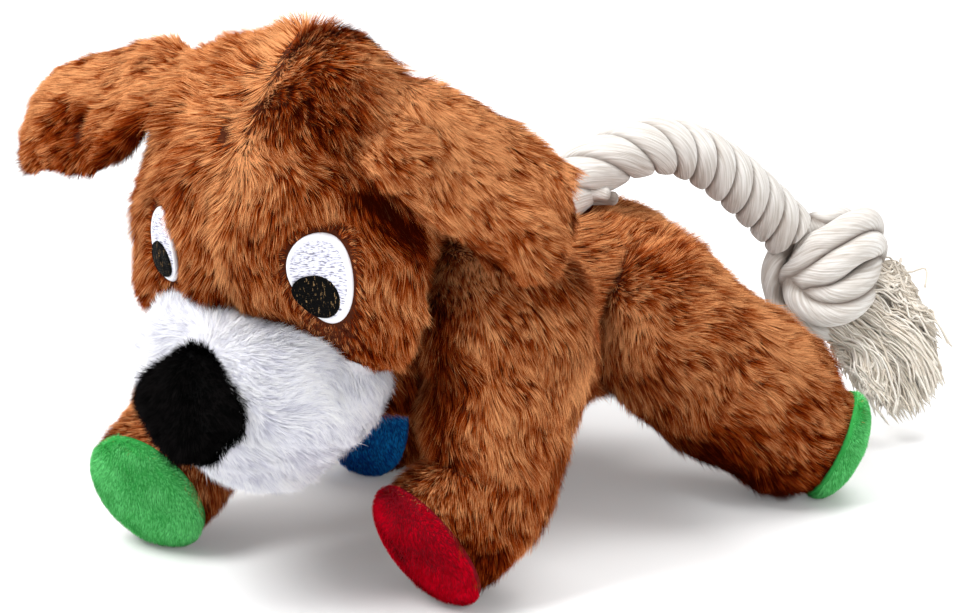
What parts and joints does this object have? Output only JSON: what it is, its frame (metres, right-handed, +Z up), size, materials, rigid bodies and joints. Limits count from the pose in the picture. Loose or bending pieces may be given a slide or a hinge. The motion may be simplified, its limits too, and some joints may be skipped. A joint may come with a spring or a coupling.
{
  "type": "plush dog toy",
  "caption": "Stuffed plush dog with a big head, drooping ears, coloured paw pads and a knotted cotton rope for a tail, standing on its paws.",
  "frame": {"origin": "on the floor under the middle of the toy without its rope", "axes": "-Y to the dog's front, +X to its left, +Z up"},
  "size_m": [0.2336, 0.3606, 0.2007],
  "materials": {
    "brown_plush": "long pile plush",
    "white_plush": "long pile plush",
    "black_plush": "long pile plush",
    "white_thread": "satin stitch",
    "black_thread": "satin stitch",
    "red_velboa": "short pile",
    "green_velboa": "short pile",
    "blue_velboa": "short pile",
    "cotton_rope": "twisted strands",
    "frayed_cotton": "combed-out yarn",
    "squeaker_plastic": "moulded"
  },
  "bodies": {
    "torso": {"torso": "brown_plush", "squeaker_bulb": "squeaker_plastic", "squeaker_reed": "squeaker_plastic"},
    "neck": {"neck_seam": "brown_plush"},
    "head": {"head": "brown_plush", "muzzle": "white_plush", "nose": "black_plush", "eye_white_left": "white_thread", "pupil_left": "black_thread", "eye_white_right": "white_thread", "pupil_right": "black_thread"},
    "ear_left": {"ear_left": "brown_plush"},
    "ear_right": {"ear_right": "brown_plush"},
    "front_leg_left": {"front_leg_left": "brown_plush", "paw_pad_front_left": "red_velboa"},
    "front_leg_right": {"front_leg_right": "brown_plush", "paw_pad_front_right": "green_velboa"},
    "hind_leg_left": {"hind_leg_left": "brown_plush", "paw_pad_hind_left": "green_velboa"},
    "hind_leg_right": {"hind_leg_right": "brown_plush", "paw_pad_hind_right": "blue_velboa"},
    "tail_root": {"tail_root": "cotton_rope"},
    "tail": {"tail_rope": "cotton_rope", "tail_knot": "cotton_rope", "tail_tassel": "frayed_cotton"}
  },
  "joints": [
    {"name": "neck_turn", "type": "hinge", "parent": "torso", "child": "neck", "pos_m": [0.00315, -0.069, 0.14], "axis": [0, 0, 1], "range_deg": [-7, 7], "stiffness_Nm_per_rad": 1.5},
    {"name": "neck_nod", "type": "hinge", "parent": "neck", "child": "head", "pos_m": [0.00315, -0.069, 0.14], "axis": [-1, 0, 0], "range_deg": [0, 12], "stiffness_Nm_per_rad": 1.5},
    {"name": "ear_flap_left", "type": "hinge", "parent": "head", "child": "ear_left", "pos_m": [0.05993, -0.08135, 0.17579], "axis": [0.0204, -0.7124, -0.7015], "range_deg": [-8, 30], "stiffness_Nm_per_rad": 0.3},
    {"name": "ear_flap_right", "type": "hinge", "parent": "head", "child": "ear_right", "pos_m": [-0.05362, -0.08135, 0.17579], "axis": [-0.2347, 0.8554, 0.4617], "range_deg": [-8, 30], "stiffness_Nm_per_rad": 0.3},
    {"name": "shoulder_left", "type": "hinge", "parent": "torso", "child": "front_leg_left", "pos_m": [0.03815, -0.026, 0.09], "axis": [1, 0, 0], "range_deg": [-12, 14], "stiffness_Nm_per_rad": 2.5},
    {"name": "shoulder_right", "type": "hinge", "parent": "torso", "child": "front_leg_right", "pos_m": [-0.03185, -0.026, 0.09], "axis": [1, 0, 0], "range_deg": [-2, 14], "stiffness_Nm_per_rad": 2.5},
    {"name": "hip_left", "type": "hinge", "parent": "torso", "child": "hind_leg_left", "pos_m": [0.03815, 0.086, 0.066], "axis": [1, 0, 0], "range_deg": [-30, 15], "stiffness_Nm_per_rad": 2.5},
    {"name": "hip_right", "type": "hinge", "parent": "torso", "child": "hind_leg_right", "pos_m": [-0.03185, 0.086, 0.066], "axis": [1, 0, 0], "range_deg": [-8, 40], "stiffness_Nm_per_rad": 2.5},
    {"name": "tail_swing", "type": "hinge", "parent": "torso", "child": "tail_root", "pos_m": [-0.00144, 0.06048, 0.09765], "axis": [0, 0, 1], "range_deg": [-15, 15], "stiffness_Nm_per_rad": 1},
    {"name": "tail_lift", "type": "hinge", "parent": "tail_root", "child": "tail", "pos_m": [-0.00144, 0.06048, 0.09765], "axis": [0.9648, -0.2631, 0], "range_deg": [-6, 15], "stiffness_Nm_per_rad": 1}
  ]
}
